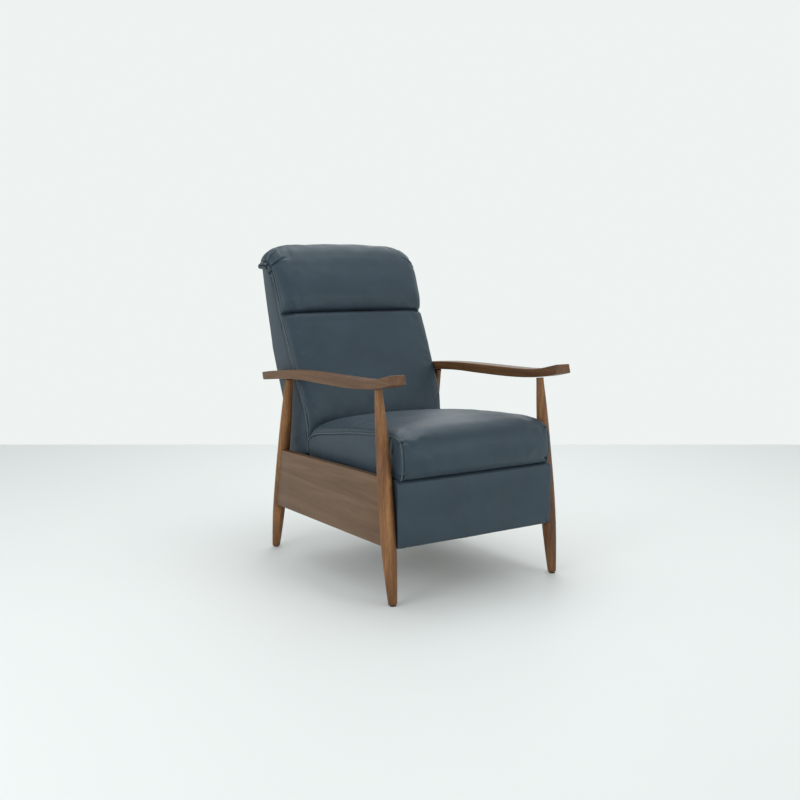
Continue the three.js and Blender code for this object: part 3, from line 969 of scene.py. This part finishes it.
@dataclass
class SeatCushion:
    """The seat: one panel of leather from the rear over the crown and down the front, with welted gussets."""

    finishes: Finishes
    half: float = 260.5
    welt: float = 2.9
    held_strip: float = 9.0      # how wide a strip by the seams is held while the leather finds its folds
    seam: tuple[Point2, ...] = (
        (222, 345), (221, 368), (215, 386), (200, 398), (162, 411), (74, 425), (-48, 444), (-183, 459),
        (-262, 466), (-300, 464), (-320, 455), (-330, 436), (-334, 405), (-334, 378), (-328, 352))
    middle: tuple[Point2, ...] = (
        (222, 345), (224, 385), (220, 425), (204, 448), (168, 458), (74, 473), (-48, 487), (-183, 494),
        (-262, 492), (-308, 482), (-338, 460), (-353, 428), (-357, 396), (-350, 366), (-333, 351))
    under: tuple[Point2, ...] = ((-318, 347), (-292, 344), (-284, 339.5), (0, 339.5), (212, 339.5))

    def pad(self) -> CrownedPad:
        """The cushion's shape."""
        return CrownedPad(
            name="seat_cushion_leather",
            place=at_datum,
            seam_runs=(self.seam, (self.seam[-1], *self.under, self.seam[0])),
            middle_runs=(self.middle, (self.middle[-1], *self.under, self.middle[0])),
            half_width=lambda y, z: self.half,
            spine=((-290, 405), (190, 378)),
            edge=lambda z: 84.0,
            square=lambda z: float(np.interp(z, (430, 480), (2.3, 2.8))),
            puff=lambda z: float(np.interp(z, (430, 480), (0.5, 6.0))),
            edge_share=0.66,
            gusset_bulge=3.4,
            gusset_dip=1.6,
            step=3.4,
        )

    def tucks(self) -> list[Tuck]:
        """The pinches at the front corners and the upright folds on the gussets."""
        found = []
        for side in Side:
            s, out = side.value, side.value * self.half
            front, beside = Vector((0.3 * s, -0.8, 0.5)), Vector((s, 0, 0))
            found += [
                Tuck(at_datum(out, -321, 453), at_datum(s * 244, -334, 458), front, 2.6, 8.0),
                Tuck(at_datum(out, -334, 356), at_datum(s * 238, -344, 372), Vector((0, -1, -0.4)), 3.0, 7.0),
                Tuck(at_datum(out, -320, 352), at_datum(s * 262, -296, 372), beside, 3.4, 3.0),
                Tuck(at_datum(out, -296, 459), at_datum(s * 263, -290, 385), beside, 4.2, 3.0),
                Tuck(at_datum(out, -274, 461), at_datum(s * 263, -270, 405), beside, 4.6, 2.2),
                Tuck(at_datum(out, 200, 392), at_datum(s * 262, 196, 345), beside, 4.2, 3.0),
                Tuck(at_datum(out, 178, 402), at_datum(s * 262, 170, 356), beside, 4.8, 2.2),
            ]
        return found

    def build(self) -> None:
        """Builds the cushion and its two welts."""
        pad = self.pad()
        cushion = pad.build()
        seam_x, low = (self.half - self.held_strip) * MM, at_datum(0, 0, 352).z
        LeatherDrape(0.004, lambda p: abs(p.x) > seam_x or p.z < low).drape(cushion, pad)
        soften(cushion, self.tucks(), ripple=0.0010, seed=3.1)
        smooth_shade(cushion, 50)
        dress(cushion, self.finishes.leather)
        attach(cushion, "seat")
        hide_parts("seat_cushion")
        for side in Side:
            welt = piping(f"seat_welt_{side.word}", pad.seam_path(0, side, 0.6, 1.3), self.welt * MM)
            dress(welt, self.finishes.piping)
            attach(welt, "seat")
        log.info("seat cushion and its welts")


@dataclass
class Footrest:
    """The padded footrest panel that closes the front."""

    finishes: Finishes
    half: float = 267.0
    front: float = -334.5
    rear: float = -293.6
    low: float = 157.5
    high: float = 347.0

    def section(self, fullness: float) -> tuple[Point2, ...]:
        """The front of the section, from the bottom rear to the top rear, at a fullness in millimetres."""
        face, low, high = self.front - fullness, self.low, self.high
        return ((self.rear, low), (face + 14, low), (face + 3, low + 4), (face, low + 18), (face, low + 95),
                (face, high - 20), (face + 3, high - 5), (face + 14, high), (self.rear, high))

    def build(self) -> None:
        """Builds the pad round its board; the brackets stay as they are."""
        closing = ((self.rear, self.high), (self.rear, 252), (self.rear, self.low))
        pad = CrownedPad(
            name="footrest_pad_leather",
            place=at_datum,
            seam_runs=(self.section(-2), closing),
            middle_runs=(self.section(3.5), closing),
            half_width=lambda y, z: self.half + float(np.interp(y, (-328, -323, -314), (7.5, 3, 0))),
            spine=((-312, 172), (-312, 332)),
            edge=lambda z: 16.0,
            square=lambda z: 2.6,
            puff=lambda z: 1.0,
            edge_share=0.62,
            crevice=0.0,
            gusset_bulge=0.6,
            gusset_dip=-0.4,
        )
        panel = pad.build()
        tucks = []
        for side in Side:
            out = side.value * self.half
            for z, rise in ((343, -14), (162, 14)):
                outward = Vector((side.value * 0.4, -1, 0.4 * math.copysign(1, z - 250)))
                tucks += [
                    Tuck(at_datum(out, -324, z), at_datum(out * 0.91, -336, z + rise), outward, 3.2, 2.6),
                    Tuck(at_datum(out * 0.96, -328, z + 4), at_datum(out * 0.93, -336, z + 2 * rise), outward,
                         3.0, 2.0),
                ]
        soften(panel, tucks, ripple=0.0010, seed=8.4)
        smooth_shade(panel, 50)
        dress(panel, self.finishes.leather)
        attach(panel, "footrest")
        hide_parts("footrest_pad")
        log.info("footrest pad")


@dataclass
class Back:
    """The back: a front pad with a sewn headrest roll, a cover round its sides and rear, and welts."""

    finishes: Finishes
    welt: float = 2.9
    ear: float = 4.8              # the folded seam end is thicker than the welt
    seam_low: tuple[Point2, ...] = (
        (-10, 8), (-22, 36), (-38, 84), (-47, 140), (-43, 265), (-41, 344), (-42, 400), (-40, 440),
        (-39, 458))
    seam_high: tuple[Point2, ...] = (
        (-39, 458), (-41, 470), (-46, 500), (-49, 540), (-51, 600), (-46, 620), (-38, 637), (-25, 650),
        (-8, 660), (8, 664), (16, 660))
    middle_low: tuple[Point2, ...] = (
        (-12, 8), (-36, 40), (-64, 84), (-77, 140), (-83, 265), (-84, 344), (-82, 410), (-76, 446),
        (-52, 459))
    middle_high: tuple[Point2, ...] = (
        (-52, 459), (-82, 460), (-100, 484), (-106, 540), (-102, 600), (-97, 642), (-86, 681), (-62, 708),
        (-28, 718), (3, 711), (16, 690))
    rear: tuple[Point2, ...] = ((9, 652), (-14, 630), (-14, 344), (-12, 60), (-8, 14))

    @staticmethod
    def half_at(v: float, u: float) -> float:
        """Half the back's width at a height along it, in millimetres."""
        return float(np.interp(u, (-30, 40, 120, 460, 600, 680), (255.0, 255.4, 258.5, 267.0, 272.5, 274.0)))

    def seam_at(self, u: float) -> float:
        """Where the side seam runs at a height along the back, negative in front."""
        places, heights = zip(*self.seam_low, *self.seam_high[1:9])
        return float(np.interp(u, heights, places))

    @staticmethod
    def rear_at(u: float) -> float:
        """How far behind the rear cover stands at a height along the back."""
        return float(np.interp(u, (-30, -8, 30, 46, 128, 205, 300, 388, 550, 640, 675),
                               (60, 102, 136, 134, 116, 92, 87, 80, 42, 20, 15)))

    def pad(self) -> CrownedPad:
        """The front pad's shape."""
        return CrownedPad(
            name="back_pad_leather",
            place=on_back,
            seam_runs=(self.seam_low, self.seam_high, (self.seam_high[-1], *self.rear, self.seam_low[0])),
            middle_runs=(
                self.middle_low, self.middle_high, (self.middle_high[-1], *self.rear, self.middle_low[0])),
            half_width=self.half_at,
            spine=((-24, 60), (-16, 640)),
            edge=lambda u: float(np.interp(u, (600, 705), (62, 74))),
            square=lambda u: float(np.interp(u, (600, 705), (3.8, 2.7))),
            puff=lambda u: float(np.interp(u, (100, 160, 620, 705), (3, 8, 8, 4))),
            edge_share=0.78,
            gusset_bulge=-7,
            gusset_dip=4.0,
            stations=140,
            step=2.7,
        )

    def tucks(self) -> list[Tuck]:
        """The folds that gather the headrest at its top corners, and those that end its crease."""
        found = []
        toward_front = on_back(0, -1, 0) - on_back(0, 0, 0)
        upward = on_back(0, 0, 1) - on_back(0, 0, 0)
        for side in Side:
            s = side.value
            aside = Vector((s * MM, 0, 0))
            corner = aside + toward_front + 0.6 * upward
            found += [
                Tuck(on_back(s * 274, -50, 607), on_back(s * 240, -96, 646), corner, 2.4, 15.0),
                Tuck(on_back(s * 274, -40, 634), on_back(s * 256, -70, 676), corner, 2.3, 15.0),
                Tuck(on_back(s * 274, -22, 652), on_back(s * 264, -34, 690), aside + upward, 2.3, 12.0),
                Tuck(on_back(s * 272, -50, 448), on_back(s * 226, -72, 459), toward_front, 3.0, 3.0),
                Tuck(on_back(s * 258, -47, 150), on_back(s * 212, -66, 96), toward_front, 5.0, 2.0),
            ]
        return found

    def build(self) -> None:
        """Builds the pad, the cover and the welts."""
        pad = self.pad()
        body = pad.build()
        LeatherDrape(0.0028, self.is_held).drape(body, pad)
        soften(body, self.tucks(), ripple=0.0012, seed=5.7)
        smooth_shade(body, 50)
        dress(body, self.finishes.leather)
        self.bend(body)
        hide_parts("back_cushion", "headrest_pillow")
        for side in Side:
            self.build_welt(pad, side)
            self.build_ear(side)
        self.build_cover()
        log.info("back pad, cover and welts")

    @staticmethod
    def is_held(p: Vector) -> bool:
        """Whether a point stays put while the leather finds its folds: by the seams, low down or behind."""
        foot, rear = on_back(0, -30, 60).z, on_back(0, -14, 400)
        behind = on_back(0, 1, 0) - on_back(0, 0, 0)
        beside = abs(p.x) > 0.2435 + 0.02 * max(0.0, p.z - 0.45)     # the strip follows the back's spread
        return beside or p.z < foot or (p - rear).dot(behind) > 0

    def bend(self, obj: bpy.types.Object) -> None:
        """Moves the piece's transform into its mesh."""
        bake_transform(obj)

    def build_welt(self, pad: CrownedPad, side: Side) -> None:
        """The welt along a side seam, from the bottom over the top corner."""
        path = pad.seam_path(0, side, 0.6, 1.4)[:-1] + pad.seam_path(1, side, 0.6, 1.4)
        welt = piping(f"back_welt_{side.word}", path, self.welt * MM)
        dress(welt, self.finishes.piping)
        self.bend(welt)

    def build_ear(self, side: Side) -> None:
        """The folded end of the seam at a top corner, which stands out to the side."""
        marks = (
            (272, -50, 600), (273.5, -46, 620), (275, -36, 639), (277.5, -22, 651), (281, -8, 656),
            (284, 2, 655), (284, 4, 649), (280, -4, 645), (275.5, -14, 641), (272, -24, 635), (270, -30, 628))
        points = np.array(marks, float)
        smooth: list[Vector] = []
        for a, b, c, d in zip(points, points[1:], points[2:], points[3:]):
            for t in (0, 0.25, 0.5, 0.75):
                smooth.append(on_back(*(0.5 * (2 * b + (c - a) * t + (2 * a - 5 * b + 4 * c - d) * t**2
                                              + (3 * b - a - 3 * c + d) * t**3))))
        if side is Side.RIGHT:
            smooth = [Vector((-p.x, p.y, p.z)) for p in smooth]
        ear = piping(f"back_seam_ear_{side.word}", smooth, self.ear * MM)
        dress(ear, self.finishes.piping)
        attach(ear, "back")

    def build_cover(self) -> None:
        """The leather round the sides and the rear, as one sheet with a turned thickness."""
        heights = [-28, -24, -20, -14, -8, 0, *range(8, 648, 8), 650, 656]
        side_steps, corner_steps, rear_steps = 22, 7, 34
        verts: list[Vector] = []
        for u in heights:
            half, front, rear = self.half_at(0, u), self.seam_at(u) + 1.5, self.rear_at(u)
            outer, radius = half - 0.4, float(np.interp(u, (60, 200), (6, 11)))
            ring: list[tuple[float, float]] = []
            for k in range(side_steps + 1):
                t = k / side_steps
                deep = t * (rear - radius - front)
                puff = 2.0 * math.sin(math.pi * t) if u > 60 else 0.0
                fold = 2.2 * math.exp(-(((deep - 13) / 3.4) ** 2)) if u > 20 else 0.0
                ring.append((-(outer + puff - fold), front + deep))
            for k in range(1, corner_steps + 1):
                a = k / corner_steps * math.pi / 2
                ring.append((-(outer - radius + radius * math.cos(a)), rear - radius + radius * math.sin(a)))
            for k in range(1, rear_steps):
                t = k / rear_steps
                ring.append((-(outer - radius) * (1 - 2 * t), rear + 4.0 * math.sin(math.pi * t) ** 0.6))
            mirrored = [(-x, v) for x, v in reversed(ring[: side_steps + 1 + corner_steps])]
            verts.extend(on_back(x, v, u) for x, v in ring + mirrored)
        n = len(verts) // len(heights)
        faces = [
            (r * n + i, r * n + i + 1, (r + 1) * n + i + 1, (r + 1) * n + i)
            for r in range(len(heights) - 1) for i in range(n - 1)
        ]
        cover = mesh_object("back_cover_leather", verts, faces)
        if cover.data.polygons[0].normal.x > 0:
            cover.data.flip_normals()
        apply_modifier(cover, "SOLIDIFY", thickness=0.0018, offset=-1)
        soften(cover, [], ripple=0.0008, seed=12.9)
        smooth_shade(cover, 50)
        dress(cover, self.finishes.leather)
        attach(cover, "back")
        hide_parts("back_rear_cover")


# ---- hidden frame and mechanism -----------------------------------------


@dataclass
class HiddenParts:
    """Finishes for the nodes that keep their own shape."""

    finishes: Finishes

    def dress_nodes(self) -> None:
        """Gives each kept node the material for what it is: the first row with a word of its name."""
        use = self.finishes
        rows = (
            (("glide",), use.glide),
            (("webbing",), use.webbing),
            (("plate", "link", "bracket", "spring", "tube"), use.steel),
            (("seat_rear_rail",), use.birch),
            (("front_stretcher", "rear_rail"), use.rail_wood),
            (("leg", "arm", "panel"), use.leg_wood),
            (("side_board", "front_rail"), use.stained),
            (("board", "rail"), use.birch),
        )
        for name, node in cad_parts.items():
            fitting = [material for words, material in rows if any(word in name for word in words)]
            node.data.materials.clear()
            node.data.materials.append((fitting + [use.leather])[0])
        log.info("finishes on the nodes that keep their shape")


def main() -> None:
    """Builds the chair's looks in order."""
    logging.basicConfig(level=logging.INFO, format="%(name)s: %(message)s")
    bpy.ops.object.select_all(action="DESELECT")
    finishes = Finishes()
    Studio().build()
    HiddenParts(finishes).dress_nodes()
    WoodFrame(finishes).build()
    SeatCushion(finishes).build()
    Footrest(finishes).build()
    Back(finishes).build()


if __name__ == "__main__":
    main()
